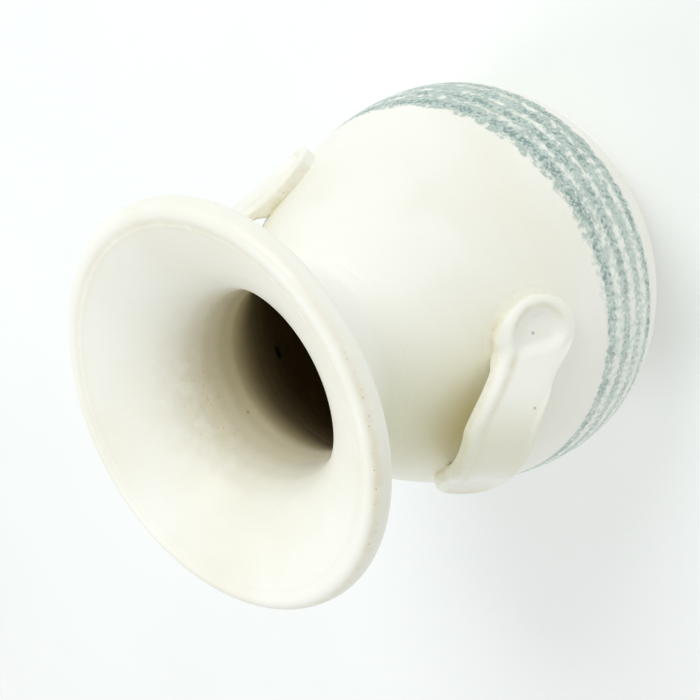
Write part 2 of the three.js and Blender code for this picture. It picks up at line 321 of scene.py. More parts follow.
def noise(tree, place, scale, detail=4.0):
    """Cloudy noise between about 0.3 and 0.7."""
    sockets = {"Vector": place, "Scale": scale, "Detail": detail}
    return add_node(tree, "ShaderNodeTexNoise", sockets).outputs["Fac"]


def mark(tree, name):
    """Value that a mesh stores per point under a name, 0 where it stores none."""
    return add_node(tree, "ShaderNodeAttribute", {}, attribute_name=name).outputs["Fac"]


def specks(tree, place, scale, share, size):
    """1 in a few small dots: the near middle of those cells whose random tone is above a limit."""
    cells = add_node(tree, "ShaderNodeTexVoronoi", {"Vector": place, "Scale": scale})
    parts = add_node(tree, "ShaderNodeSeparateColor", {"Color": cells.outputs["Color"]})
    chosen = spread(tree, parts.outputs["Red"], 1 - share, 1 - share + CHOICE_EDGE)
    near = spread(tree, cells.outputs["Distance"], size, size * DOT_CORE)
    return times(tree, chosen, near)


# %% The materials
CREAM = tone(249, 250, 243)
BEIGE = tone(242, 241, 229)
TOASTED = tone(214, 203, 166)
# Painted olive shade: down the throat and on the wall behind the straps.
OLIVE_SHADE = tone(226, 208, 150)
# Painted warm shade, laid above and on the lugs and round the neck joint.
WARM_SHADE_TONE = tone(226, 225, 192)
WASH = tone(212, 226, 221)
SMEAR = tone(166, 186, 178)
SLIP_PALE = tone(198, 214, 208)
SLIP_DEEP = tone(138, 161, 156)
# Painted shade: the dark tone deep inside the throat and belly.
INSIDE = tone(132, 111, 72)
IRON = tone(140, 112, 70)
RUST = tone(192, 166, 122)
BUFF = tone(214, 192, 158)
BUFF_DEEP = tone(188, 160, 122)

# Sizes of the noise, in clouds per metre, and the height of the skin's grain, in metres.
MOTTLING = 17.0
TOAST_CLOUDS = 240.0
WIPING = 420.0
SMEARING = 480.0
CRUMBS = 900.0
GLOSS_CLOUDS = 40.0
SKIN_GRAIN = 620.0
CLAY_GRAIN = 130.0
SKIN_HEIGHT = 0.0004

# Single spots that the firing left: place and radius in millimetres, and tone.
SPOT_CORE = 0.4
SPOTS = [
    ((38.7, 36.4, 124.5), 4.0, tone(12, 9, 5)),
    ((22.3, 22.6, 181.5), 0.8, tone(222, 216, 194)),
    ((13.4, 27.4, 169.6), 0.9, tone(198, 189, 156)),
    ((-68.4, -15.2, 132.4), 0.7, tone(205, 191, 158)),
    ((-55.2, -33.2, 123.9), 0.8, tone(182, 197, 218)),
]


def ceramic(name):
    """An empty material: its tree, its object coordinates and its shader."""
    material = bpy.data.materials.new(name)
    material.use_nodes = True
    tree = material.node_tree
    place = tree.nodes.new("ShaderNodeTexCoord").outputs["Object"]
    return material, tree, place, tree.nodes["Principled BSDF"]


def skin_bump(tree, place, shader, strength):
    """Fine unevenness of a fired surface."""
    grain = noise(tree, place, SKIN_GRAIN, 3.0)
    sockets = {"Height": grain, "Strength": strength, "Distance": SKIN_HEIGHT}
    made = add_node(tree, "ShaderNodeBump", sockets)
    tree.links.new(made.outputs["Normal"], shader.inputs["Normal"])


def spot(tree, place, centre, radius):
    """1 at a place of the surface, and 0 farther from it than the radius."""
    sockets = {0: place, 1: np.array(centre) * MM}
    away = add_node(tree, "ShaderNodeVectorMath", sockets, operation="DISTANCE").outputs["Value"]
    return spread(tree, away, radius * MM, radius * MM * SPOT_CORE)


def glaze_colour(tree, place):
    """Cream with beige clouds, toasted edges with rusty grains (partly painted shade in the crease and on
    the lip), painted warm and olive shade, washed and smeared slip, painted dark shade inside, iron specks
    and a few spots, each laid over the one before."""
    clouds = spread(tree, noise(tree, place, MOTTLING), 0.4, 0.75)
    colour = blend(tree, clouds, CREAM, BEIGE)
    toast = mark(tree, "toast")
    toast_clouds = spread(tree, noise(tree, place, TOAST_CLOUDS), 0.3, 0.62, 0.5, 1.0)
    colour = blend(tree, times(tree, toast, toast_clouds), colour, TOASTED)
    grains = specks(tree, place, scale=900.0, share=0.25, size=0.24)
    toasted_grains = times(tree, spread(tree, toast, 0.2, 0.5), grains)
    colour = blend(tree, toasted_grains, colour, RUST)
    # Painted warm shade above and on the lugs.
    colour = blend(tree, mark(tree, "pool"), colour, WARM_SHADE_TONE)
    # Painted olive shade down the throat and behind the straps.
    colour = blend(tree, mark(tree, "shade"), colour, OLIVE_SHADE)
    wiped = spread(tree, noise(tree, place, WIPING, 6.0), 0.44, 0.64, 0.1, 1.0)
    colour = blend(tree, times(tree, mark(tree, "wash"), wiped), colour, WASH)
    drawn_out = spread(tree, noise(tree, place, SMEARING, 6.0), 0.38, 0.6, 0.35, 1.0)
    smeared = spread(tree, times(tree, mark(tree, "smear"), drawn_out), 0.12, 0.75, 0.0, 0.84)
    colour = blend(tree, smeared, colour, SMEAR)
    # Painted shade, darker deep inside.
    colour = blend(tree, mark(tree, "depth"), colour, INSIDE)
    iron_specks = specks(tree, place, scale=190.0, share=0.012, size=0.08)
    colour = blend(tree, iron_specks, colour, IRON)
    for centre, radius, spot_tone in SPOTS:
        colour = blend(tree, spot(tree, place, centre, radius), colour, spot_tone)
    return colour


glaze, tree, place, shader = ceramic("cream_glaze")
tree.links.new(glaze_colour(tree, place), shader.inputs["Base Color"])
gloss = spread(tree, noise(tree, place, GLOSS_CLOUDS), 0.3, 0.7, 0.34, 0.5)
tree.links.new(gloss, shader.inputs["Roughness"])
skin_bump(tree, place, shader, 0.12)

slip, tree, place, shader = ceramic("blue_slip")
crumbs = spread(tree, noise(tree, place, CRUMBS, 6.0), 0.36, 0.56, 0.42, 1.0)
strength = times(tree, mark(tree, "mark"), crumbs)
blue = blend(tree, spread(tree, strength, 0.35, 0.95), SLIP_PALE, SLIP_DEEP)
covered = spread(tree, strength, 0.05, 0.45)
tree.links.new(blend(tree, covered, glaze_colour(tree, place), blue), shader.inputs["Base Color"])
shader.inputs["Roughness"].default_value = 0.5
skin_bump(tree, place, shader, 0.2)

clay, tree, place, shader = ceramic("bare_clay")
grain = spread(tree, noise(tree, place, CLAY_GRAIN, 8.0), 0.35, 0.65)
colour = blend(tree, grain, BUFF, BUFF_DEEP)
iron_specks = specks(tree, place, scale=500.0, share=0.08, size=0.2)
colour = blend(tree, iron_specks, colour, IRON)
tree.links.new(colour, shader.inputs["Base Color"])
shader.inputs["Roughness"].default_value = 0.85
skin_bump(tree, place, shader, 0.6)
print("materials:", glaze.name, slip.name, clay.name)

# %% [markdown]
# The glaze changes from place to place: slip was wiped over the band, and painted shade lies warm above the
# lugs, olive behind the straps and down the throat, and dark deep inside. Each of these is a share of 0 to 1
# at a turn round the vase and a height.

# %% Marks on the glaze
WASH_RAGGED = 0.6
WASH_LOW_EDGE = np.array([-1.5, 0.5])
WASH_HIGH_EDGE = np.array([-1.2, 0.2])
# The slip is thickest at this turn; its paler far side is partly painted light.
HEAVY_SIDE = np.radians(-88)
SMEAR_REACHES = [1.7, 0.9, 0.9, 0.9]
SMEAR_EDGE = 1.2
SMEAR_RAGGED = 0.9
INSIDE_SHADE = 0.75
SHADE_START = 16.0
SHADE_END = 48.0
DEPTH_START = 40.0
DEPTH_END = 92.0
WARM_SHADE_STRENGTH = 0.65
WARM_SHADE_START = 108.0
WARM_SHADE_FULL = 140.0
WARM_SHADE_BELOW_LIP = 20.0
STRAP_SHADE = 0.8
STRAP_SHADE_SPREAD = 13.0
band_low, band_high = row_edges.min(), row_edges.max()


def wash_share(turn, height):
    """Thin slip that the wiping left on the band: full between the rows and ragged at the two edges."""
    ragged = WASH_RAGGED * ripples(turn, height, rounds=90, rise=0.5, seed=11)
    inside = soft_step(height + ragged, *(band_low + WASH_LOW_EDGE))
    return inside * (1 - soft_step(height + ragged, *(band_high + WASH_HIGH_EDGE)))


def slip_and_light_share(turn):
    """How thickly the slip was left: 1 on one side of the vase, falling off as a cosine to the fourth.
    The low end is partly painted light: the slip is paler where the band lies in shade.
    """
    return ((1 + np.cos(turn - HEAVY_SIDE)) / 2) ** 4


def smear_share(turn, height):
    """Slip that was drawn out past the rows on the thick side: full over a row, ragged where it ends."""
    ragged = SMEAR_RAGGED * ripples(turn, height, rounds=90, rise=0.5, seed=12)
    over_rows = []
    for (low, high), reach in zip(row_edges, SMEAR_REACHES):
        past = np.maximum(low - height, height - high) + ragged
        over_rows.append(1 - soft_step(past, reach - SMEAR_EDGE, reach + SMEAR_EDGE))
    return slip_and_light_share(turn) * np.max(over_rows, 0)


def inside_shade(height):
    """How much painted olive shade lies inside: more and more from below the lip to the throat."""
    return INSIDE_SHADE * soft_step(total_height - height, SHADE_START, SHADE_END)


def inside_depth(height):
    """How much painted dark shade lies inside: none above the throat, full in the belly."""
    return soft_step(total_height - height, DEPTH_START, DEPTH_END)


def pool_share(turn, height):
    """How much painted warm shade lies outside: most above the lugs, fading up the neck."""
    above_lug = soft_step(height, WARM_SHADE_START, WARM_SHADE_FULL)
    up_neck = soft_step(height, joint_height, total_height - WARM_SHADE_BELOW_LIP)
    return WARM_SHADE_STRENGTH * above_lug * (1 - up_neck) * np.cos(turn) ** 4


def behind_strap(turn, height):
    """Painted olive shade on the wall behind a strap: a bell curve up the wall, times a cosine
    to the sixteenth round it."""
    return STRAP_SHADE * bump(height, lug_height + LUG_RISE, STRAP_SHADE_SPREAD) * np.cos(turn) ** 16


print(f"band from {band_low:.1f} to {band_high:.1f}")

# %% [markdown]
# The body is turned from one profile: up the outside from the glaze line, over the seat of the neck joint,
# and down the inside to the floor. The fingers left faint rings outside and deeper ones inside. Four
# shallow grooves hold the slip rows.

# %% The thrown body
BODY_TURNS = 320
GROOVE_DEPTH = 0.5
GROOVE_EDGE = 0.12
RING_PITCH = 7.0
OUTSIDE_RINGS = 0.05
OUTSIDE_WAVES = 0.2
INSIDE_RINGS = 0.12
OUTSIDE_ROWS = 170
INSIDE_ROWS = 64
JOINT_ROWS = 14
EDGE_ROWS = 5
JOINT_FADE = 20.0
JOINT_CLEAR = 6.0
FLOOR_RINGS_START = 5.0
FLOOR_CORNER = 4.0
FLOOR_CORNER_RISE = 0.7
GLAZE_TUCK = 2.0
GLAZE_TUCK_RISE = 1.0
GLAZE_ROLL = 0.6
GLAZE_ROLL_RISE = 0.3


def groove_share(height):
    """1 inside a slip row's groove and 0 outside it, with steep sides."""
    low, high = row_edges[:, :1], row_edges[:, 1:]
    rise = soft_step(height, low - GROOVE_EDGE, low + GROOVE_EDGE)
    fall = soft_step(height, high - GROOVE_EDGE, high + GROOVE_EDGE)
    return (rise - fall).sum(0)


def hand_dent(turn, height):
    """How far the wall lies inside the frame's: faint finger rings and broad waves, fading out below the
    neck joint."""
    rings = OUTSIDE_RINGS * (1 + np.sin(2 * np.pi * height / RING_PITCH + turn))
    waves = OUTSIDE_WAVES * (1 + ripples(turn, height, rounds=4, rise=0.05, seed=3)).clip(0)
    return (rings + waves) * (1 - soft_step(height, joint_height - JOINT_FADE, joint_height - JOINT_CLEAR))


turn = np.linspace(0, 2 * np.pi, BODY_TURNS, endpoint=False)[None, :]
edge_heights = (row_edges.ravel()[:, None] + GROOVE_EDGE * np.linspace(-1, 1, EDGE_ROWS)).ravel()
even_heights = np.linspace(FOOT_HEIGHT, joint_height, OUTSIDE_ROWS)
heights = np.unique(np.concatenate([even_heights, edge_heights]))
outside = np.stack(wall_at(heights)[:2], -1)
smoothed = np.linspace(joint_height + JOINT_SEAT_RISE, meeting_height, JOINT_ROWS)
floor_corner_height = FLOOR_HEIGHT + FLOOR_CORNER
below_joint = np.linspace(joint_height - JOINT_SMOOTHING, floor_corner_height, INSIDE_ROWS)[1:]
inside = np.concatenate([
    np.stack([inside_at(smoothed), smoothed], -1),
    np.stack(wall_at(below_joint, -WALL)[:2], -1),
])
glaze_edge = [
    (POLE_RADIUS, FOOT_HEIGHT + GLAZE_TUCK_RISE),
    (FOOT_RADIUS - GLAZE_TUCK, FOOT_HEIGHT + GLAZE_TUCK_RISE),
    (FOOT_RADIUS - GLAZE_ROLL, GLAZE_LINE),
    (FOOT_RADIUS, GLAZE_LINE + GLAZE_ROLL_RISE),
]
floor_line = [
    (FLOOR_FLAT_RADIUS + FLOOR_CORNER, FLOOR_HEIGHT + FLOOR_CORNER_RISE),
    (FLOOR_FLAT_RADIUS, FLOOR_HEIGHT),
    (POLE_RADIUS, FLOOR_HEIGHT),
]
profile = np.concatenate([glaze_edge, outside, inside, floor_line])
radius, height = profile[:, :1], profile[:, 1:]

row_number = np.arange(len(profile))[:, None]
first_outside = len(glaze_edge)
last_outside = first_outside + len(outside) - 1
is_outside = (row_number >= first_outside) & (row_number < last_outside)
is_inside = row_number > last_outside
dent = hand_dent(turn, height) + GROOVE_DEPTH * groove_share(height[:, 0])[:, None]
spiral = np.sin(2 * np.pi * height / RING_PITCH + turn)
floor_fade = soft_step(radius, FLOOR_RINGS_START, FLOOR_FLAT_RADIUS)
joint_fade = soft_step(joint_height - height, 0.0, JOINT_FADE)
finger_rings = INSIDE_RINGS * spiral * floor_fade * joint_fade
dented = radius - is_outside * dent - is_inside * finger_rings
make_piece(
    "body_skin", revolve(dented, height, turn), glaze, "cream_glaze", ["thrown_body"],
    wash=is_outside * wash_share(turn, height),
    smear=is_outside * smear_share(turn, height),
    # Painted shade on the body: warm outside above the lugs, olive behind the straps, olive and dark inside.
    pool=~is_inside * pool_share(turn, height),
    shade=np.where(is_inside, inside_shade(height), behind_strap(turn, height)),
    depth=is_inside * inside_depth(height),
)

# %% [markdown]
# The foot stays bare: the glaze was wiped off before the firing. It is a low ring with a recess, bevelled
# on both edges.

# %% The bare foot
RECESS = 4.0
FOOT_ROWS = 89
FOOT_INSET = 0.1
GLAZE_OVERLAP = 0.5
HIDDEN_RISE = 3.0
HIDDEN_INSET = 4.0
ring_inside = FOOT_RADIUS - FOOT_RING_WIDTH
foot_profile = np.array([
    (POLE_RADIUS, RECESS),
    (ring_inside - FOOT_BEVEL, RECESS),
    (ring_inside, FOOT_BEVEL),
    (ring_inside + FOOT_BEVEL, 0.0),
    (FOOT_RADIUS - FOOT_BEVEL, 0.0),
    (FOOT_RADIUS - FOOT_INSET, FOOT_BEVEL),
    (FOOT_RADIUS - FOOT_INSET, GLAZE_LINE + GLAZE_OVERLAP),
    (FOOT_RADIUS - HIDDEN_INSET, GLAZE_LINE + HIDDEN_RISE),
    (POLE_RADIUS, GLAZE_LINE + HIDDEN_RISE),
])
share = np.linspace(0, len(foot_profile) - 1, FOOT_ROWS)
number = np.arange(len(foot_profile))
foot_radius = np.interp(share, number, foot_profile[:, 0])[:, None]
foot_height = np.interp(share, number, foot_profile[:, 1])[:, None]
make_piece("foot_clay", revolve(foot_radius, foot_height, turn), clay, "bare_clay", ["thrown_body"])

# %% [markdown]
# The neck was thrown by itself and set on the shoulder. Its profile is a ring: the collar, the underside
# of the flare, the rolled lip, the crease, the trumpet and the throat. The glaze is toasted where it runs
# thin, in the crease and on the lip's outer side, and in one stain in the trumpet. The toast in the crease
# and on the lip lies on one side only and is partly painted shade. Painted shade turns the inside olive,
# most on one side, and darkens it down the throat. Painted warm shade runs up the outside from the shoulder.

# %% The profile of the neck
COLLAR_ROWS = 24
COLLAR_REACH = 5.0
FUNNEL_ROWS = 110
UNDERSIDE_TRIM = 2
LIP_ROWS = 15
CREST_ROWS = 28
CREST_PULL = 1.4
CREASE_DIP = 0.25
CREASE_SHIFT = 0.3
CREASE_SPREAD = 1.3
THROAT_ROWS = 10
quarter = np.linspace(0, np.pi / 2, LIP_ROWS)
neck_foot = joint_height + NECK_LIFT
collar_end = THROAT_RADIUS + NECK_WALL
joint_slope = wall_along[-1] / wall_along[-1, 1]
collar_start = np.array([joint_radius, joint_height]) + NECK_LIFT * joint_slope
collar = bezier(
    [
        collar_start,
        collar_start + COLLAR_REACH * wall_along[-1],
        (collar_end, throat_height - COLLAR_REACH),
        (collar_end, throat_height),
    ],
    np.linspace(0, 1, COLLAR_ROWS),
)
flare_top = total_height - CREASE_DROP + CREASE_DEPTH
third = (flare_top - throat_height) / 3
funnel_share = np.linspace(0, 1, FUNNEL_ROWS)
funnel = bezier(
    [
        (THROAT_RADIUS, throat_height),
        (THROAT_RADIUS, throat_height + third),
        (THROAT_RADIUS, flare_top - third),
        (CREASE_RADIUS - CREASE_WIDTH, flare_top),
    ],
    funnel_share,
)
funnel_along = np.gradient(funnel, axis=0)
funnel_along /= np.linalg.norm(funnel_along, axis=1)[:, None]
thickness = NECK_WALL + (FLARE_EDGE_WALL - NECK_WALL) * funnel_share[:, None]
underside = funnel + thickness * np.stack([funnel_along[:, 1], -funnel_along[:, 0]], -1)
edge_height = total_height - LIP_SIDE
side_reach = lip_radius - LIP_CREST_RADIUS


def lip_arc(centre_height, across, up, start):
    """Quarter ellipse about a point under the lip crest, from a start angle anticlockwise."""
    angle = start + quarter
    return np.stack([LIP_CREST_RADIUS + across * np.cos(angle), centre_height + up * np.sin(angle)], -1)


crease_slope = funnel_along[-1, 1] / funnel_along[-1, 0]
crest_bend = (CREASE_RADIUS, flare_top + CREASE_WIDTH * crease_slope)
crest_pull = (LIP_CREST_RADIUS - CREST_PULL, total_height)
crest = bezier(
    [(LIP_CREST_RADIUS, total_height), crest_pull, crest_bend, funnel[-1]],
    np.linspace(0, 1, CREST_ROWS),
)
dip = CREASE_DIP * bump(crest[:, 0], CREASE_RADIUS + CREASE_SHIFT, CREASE_SPREAD)
crest[:, 1] -= dip * soft_step(crest[:, 0], funnel[-1, 0], CREASE_RADIUS)
lip = np.concatenate([
    lip_arc(edge_height, side_reach, LIP_UNDERCUT, -np.pi / 2),
    lip_arc(edge_height, side_reach, LIP_SIDE, 0.0)[1:],
    crest[1:-1],
])
throat_heights = np.linspace(throat_height, neck_foot + JOINT_SEAT_RISE, THROAT_ROWS)[1:]
throat = np.stack([inside_at(throat_heights), throat_heights], -1)
profile = np.concatenate([collar, underside[UNDERSIDE_TRIM:-UNDERSIDE_TRIM], lip, funnel[::-1], throat])
print(f"neck profile of {len(profile)} points")

# %% The neck and rim
NECK_TURNS = 320
THROAT_RINGS = 0.03
RINGS_START = 5.0
RINGS_FULL = 24.0
RINGS_WANDER = 0.6
LIP_UNEVENNESS = 0.3
SAG_REACH = 40.0
# The crease and the lip's outer side are toasted on these two sides only, where they lie in shade: partly
# toast, partly painted shade.
TOP_SIDE = np.radians(-57)
RIGHT_SIDE = np.radians(-162)
STAINED_SIDE = np.radians(47)
SHADED_SIDE = np.radians(0)
FAR_SHADE = 0.6
CREASE_TOAST_AND_SHADE = 0.3
CREASE_TOAST_SPREAD = 1.6
CREASE_TOAST_REACH = 4.0
LIP_TOAST_AND_SHADE = 0.5
LIP_TOAST_INSET = 1.5
LIP_TOAST_SPREAD = 0.9
STAIN_TOAST = 0.45
STAIN_DEPTH = 27.0
STAIN_SPREAD = 12.0
radius, height = profile[:, :1], profile[:, 1:]
turn = np.linspace(0, 2 * np.pi, NECK_TURNS, endpoint=False)[None, :]
row_number = np.arange(len(profile))[:, None]
lip_start = len(collar) + len(underside) - 2 * UNDERSIDE_TRIM
is_inner = row_number >= lip_start + len(lip)
below_lip = total_height - height
wander = RINGS_WANDER * ripples(turn, height, rounds=3, rise=0.05, seed=5)
spiral = np.sin(2 * np.pi * height / RING_PITCH + turn + wander)
down_funnel = soft_step(below_lip, RINGS_START, RINGS_FULL)
ring_depth = THROAT_RINGS * is_inner * down_funnel * soft_step(height, neck_foot, throat_height)
sag = LIP_UNEVENNESS * (1 + ripples(turn, 0 * height, rounds=3, rise=0.01, seed=8)).clip(0) / 2
lowered = height - sag * soft_step(height, total_height - SAG_REACH, total_height)
crease = bump(radius, CREASE_RADIUS, CREASE_TOAST_SPREAD) * (below_lip < CREASE_TOAST_REACH)
outer_side = bump(radius, lip_radius - LIP_TOAST_INSET, LIP_TOAST_SPREAD) * (height > edge_height)


def toward(side):
    """1 on the side of the vase at a turn, falling off as a cosine to 0 on the opposite side."""
    return (1 + np.cos(turn - side)) / 2


stain = is_inner * bump(below_lip, STAIN_DEPTH, STAIN_SPREAD) * toward(STAINED_SIDE) ** 4
# Toast in the crease and on the lip's outer side is partly painted shade, laid on one side only.
toast = CREASE_TOAST_AND_SHADE * crease * toward(TOP_SIDE) + LIP_TOAST_AND_SHADE * outer_side * toward(RIGHT_SIDE) ** 4
toast = toast + STAIN_TOAST * stain
make_piece(
    "neck_skin", revolve(radius + ring_depth * spiral, lowered, turn), glaze, "cream_glaze",
    ["neck_and_rim"], ring=True,
    # Painted shade on the neck: warm outside, olive down the throat and strongest on the shaded side, dark
    # deep inside.
    toast=toast.clip(0, 1),
    pool=~is_inner * pool_share(turn, height),
    shade=is_inner * inside_shade(height) * (FAR_SHADE + (1 - FAR_SHADE) * toward(SHADED_SIDE)),
    depth=is_inner * inside_depth(height),
)

# %% [markdown]
# A ring of soft clay beds the neck on the shoulder. It was smoothed off flush and glazed over.

# %% The luting ring
joint_edge = np.array([joint_radius, joint_height])
inner_heights = joint_height + JOINT_SEAT_RISE + np.array([NECK_LIFT, 0])
inner_edge = np.stack([inside_at(inner_heights), inner_heights], -1)
profile = np.concatenate([[joint_edge, collar_start], inner_edge])
radius, height = profile[:, :1], profile[:, 1:]
is_back = np.array([[False], [False], [True], [True]])
make_piece(
    "luting_skin", revolve(radius, height, turn), glaze, "cream_glaze", ["neck_luting_ring"], ring=True,
    # Painted shade as on the body: warm outside, olive and dark on the back.
    pool=~is_back * pool_share(turn, height),
    shade=is_back * inside_shade(height),
    depth=is_back * inside_depth(height),
)

# %% [markdown]
# Each slip row was rolled in with a toothed wheel, filled with blue-grey slip and scraped. Its marks are
# slanted strokes that meet in the middle of the row, with a ragged edge. The slip is thicker on one side of
# the vase, and worn in places. It is paler on the other side, which is partly painted light that lifts the
# band where it lies in shade.

# %% The slip rows
ROW_TURNS = 1200
ROW_STEPS = 25
STROKES = 152
ROW_RELIEF = 0.08
ROW_STRENGTHS = [0.80, 0.72, 0.68, 0.68]
STROKE_SLANT = 2.6
STROKE_SHIFT = 1.3
STROKE_WANDER = 2.4
STROKE_REACH = 0.09
STROKE_GAIN = 0.12
MARK_REACH = 0.84
MARK_RAGGED = 0.1
MARK_FADE_INSIDE = 0.35
MARK_FADE_OUTSIDE = 0.12
BROAD_WEAR = 0.22
FINE_WEAR = 0.16
THIN_AND_LIT_SIDE = 0.74
THICK_SIDE_GAIN = 0.52
turn = np.linspace(0, 2 * np.pi, ROW_TURNS, endpoint=False)[None, :]


def slip_strength(turn, across, row):
    """Slip between 0 and 1: slanted strokes inside a ragged edge, times the wear and the thick side."""
    uneven = ripples(turn, across, rounds=36, rise=1.0, seed=20 + row)
    slant = STROKE_SLANT * np.abs(across) + STROKE_SHIFT * row
    stroke = np.cos(STROKES * turn + slant + STROKE_WANDER * uneven)
    ragged = ripples(turn, across, rounds=170, rise=3.0, seed=30 + row)
    limit = MARK_REACH + STROKE_REACH * stroke + MARK_RAGGED * ragged
    cover = 1 - soft_step(np.abs(across), limit - MARK_FADE_INSIDE, limit + MARK_FADE_OUTSIDE)
    worn = BROAD_WEAR * ripples(turn, across, rounds=40, rise=2.0, seed=40 + row)
    worn = worn + FINE_WEAR * ripples(turn, across, rounds=240, rise=5.0, seed=50 + row)
    # Thick slip on one side; the paler other side is partly painted light, lifting the band where it lies in
    # shade.
    thick = (THIN_AND_LIT_SIDE + THICK_SIDE_GAIN * slip_and_light_share(turn)) * (1 - STROKE_GAIN + STROKE_GAIN * stroke)
    return (cover * (ROW_STRENGTHS[row] + worn) * thick).clip(0, 1) * (np.abs(across) < 1)


across = np.linspace(-1, 1, ROW_STEPS)[:, None]
for row, (node, (low, high)) in enumerate(zip(row_nodes, row_edges)):
    height = (low + high) / 2 + across * ((high - low) / 2 + GROOVE_EDGE)
    slip_amount = slip_strength(turn, across, row)
    radius = wall_at(height)[0] - hand_dent(turn, height) - ROW_RELIEF * slip_amount
    ends = [-1, 0]
    profile_radius = np.concatenate([radius, radius[ends] - 2 * GROOVE_DEPTH])
    profile_height = np.concatenate([height, height[ends]])
    make_piece(
        f"slip_{row + 1}", revolve(profile_radius, profile_height, turn), slip, "blue_slip", [node],
        ring=True,
        mark=np.concatenate([slip_amount, slip_amount[ends]]),
        wash=wash_share(turn, profile_height),
        smear=smear_share(turn, profile_height),
    )

# %% [markdown]
# A lug is one pulled strap. It is lofted round the axis: at each angle a rounded section stands in the
# upright plane. The section lies on the shoulder at the two thumb presses and arches clear of it between
# them. Its outer face carries a dish with a raised rim at each press, a channel and two edge ridges.

# %% Sizes of the lugs
LUG_STATIONS = 240
STATION_REACH = 0.499
LUG_CORNERS = 120
LUG_SPAN = 62.2
LUG_CLIMB = 26.0
STRAP_WIDTH = 27.0
STRAP_THICKNESS = 6.0
STRAP_HOLLOW = 1.0
STRAP_STAND_OFF = 13.0
STRAP_LEAN = np.radians(26)
ARCH_FULLNESS = 1.25
PRESS_WIDTH = 29.6
PRESS_THICKNESS = 5.0
PRESS_REACH = 12.5
PRESS_LIFT = 2.3
DISH_RADIUS = 10.0
DISH_DEPTH = 1.8
DISH_RIM = 0.75
STEP_PLACE = 3.5
STEP_LENGTH = 4.0
THICK_RIDGE = 0.9
THIN_RIDGE = 0.8
SQUARENESS = 0.5
WAIST = 3.0
WAIST_PLACE = 11.5
WAIST_LENGTH = 6.0
END_ROUNDING = 0.55
SUNK = -0.8
FILLED_GAP = 1.2
OPEN_GAP = 3.5
FILLED_SIDE = 0.5
RIM_PLACE = 1.08
RIM_SPREAD = 0.2
DISH_FLAT = 0.5
DISH_EDGE = 1.03
THICK_RIDGE_PLACE = 0.84
THICK_RIDGE_SPREAD = 0.15
THIN_RIDGE_PLACE = -0.88
THIN_RIDGE_SPREAD = 0.1
RIDGE_FADING = 0.6
RIDGE_FADE_START = 4.0
RIDGE_FADE_END = 30.0
HALF_TURN = [-1, -1, 1]
press_radius = wall_at(lug_height)[0]
press_angle = np.arcsin(LUG_SPAN / 2 / press_radius)
end_angle = press_angle + PRESS_REACH / press_radius
print(f"presses at {np.degrees(press_angle):.1f} degrees, ends at {np.degrees(end_angle):.1f}")

# %% The strap lugs
RIM_TOAST = 0.35
RIM_TOAST_PLACE = 0.96
RIM_TOAST_SPREAD = 0.1
RIM_TOAST_REACH = 7.0
RIDGE_TOAST = 0.5
RIDGE_TOAST_PLACE = 0.62
RIDGE_TOAST_SPREAD = 0.1
SIDE_TOAST = 0.3
SIDE_TOAST_SPREAD = 0.06
CONTACT_TOAST = 0.55
CONTACT_HEIGHT = 0.4
CONTACT_SPREAD = 0.9
LUG_WARM_SHADE = 0.45
LUG_WARM_SHADE_START = 12.0
LUG_WARM_SHADE_FULL = 30.0
TINY = 1e-9


def mixed(first, second, share):
    """Value between two values by a share."""
    return first + (second - first) * share


def lug_relief(from_press, sideways, half_width):
    """Height of the outer face and its toasting: at a press the rim less the dish, and past the step up to
    the strap two edge ridges less the channel. Rims and ridges are bell curves, the dish is a soft step."""
    out = np.hypot(from_press, sideways) / DISH_RADIUS
    side = sideways / half_width
    on_strap = soft_step(from_press - STEP_PLACE, -STEP_LENGTH / 2, STEP_LENGTH / 2)
    dish = DISH_DEPTH * (1 - soft_step(out, DISH_FLAT, DISH_EDGE))
    pressed = DISH_RIM * bump(out, RIM_PLACE, RIM_SPREAD) - dish
    channel = STRAP_HOLLOW * (1 - side**2).clip(0) * soft_step(from_press, STEP_PLACE, 2 * DISH_RADIUS)
    fading = 1 - RIDGE_FADING * soft_step(from_press, RIDGE_FADE_START, RIDGE_FADE_END)
    thick_ridge = fading * THICK_RIDGE * bump(side, THICK_RIDGE_PLACE, THICK_RIDGE_SPREAD)
    thin_ridge = THIN_RIDGE * bump(side, THIN_RIDGE_PLACE, THIN_RIDGE_SPREAD)
    far_end = 1 - soft_step(from_press, -RIM_TOAST_REACH, 0.0)
    rim_toast = RIM_TOAST * bump(out, RIM_TOAST_PLACE, RIM_TOAST_SPREAD) * far_end
    ridge_toast = RIDGE_TOAST * bump(side, RIDGE_TOAST_PLACE, RIDGE_TOAST_SPREAD) * on_strap * fading
    return mixed(pressed, thick_ridge + thin_ridge - channel, on_strap), rim_toast + ridge_toast


def seated(radius, height, bulge):
    """How far a lug's surface stands off the wall, before and after the seating. No point stays deeper than
    the sunk depth, and the underside is drawn down to it where the gap is narrow, as slip fills it."""
    wall_radius, _, wall_slope = wall_at(height)
    gap = (radius - wall_radius) * np.cos(wall_slope)
    filled = mixed(SUNK, gap, soft_step(gap, FILLED_GAP, OPEN_GAP))
    return gap, np.maximum(mixed(gap, filled, soft_step(-bulge, 0.0, FILLED_SIDE)), SUNK)


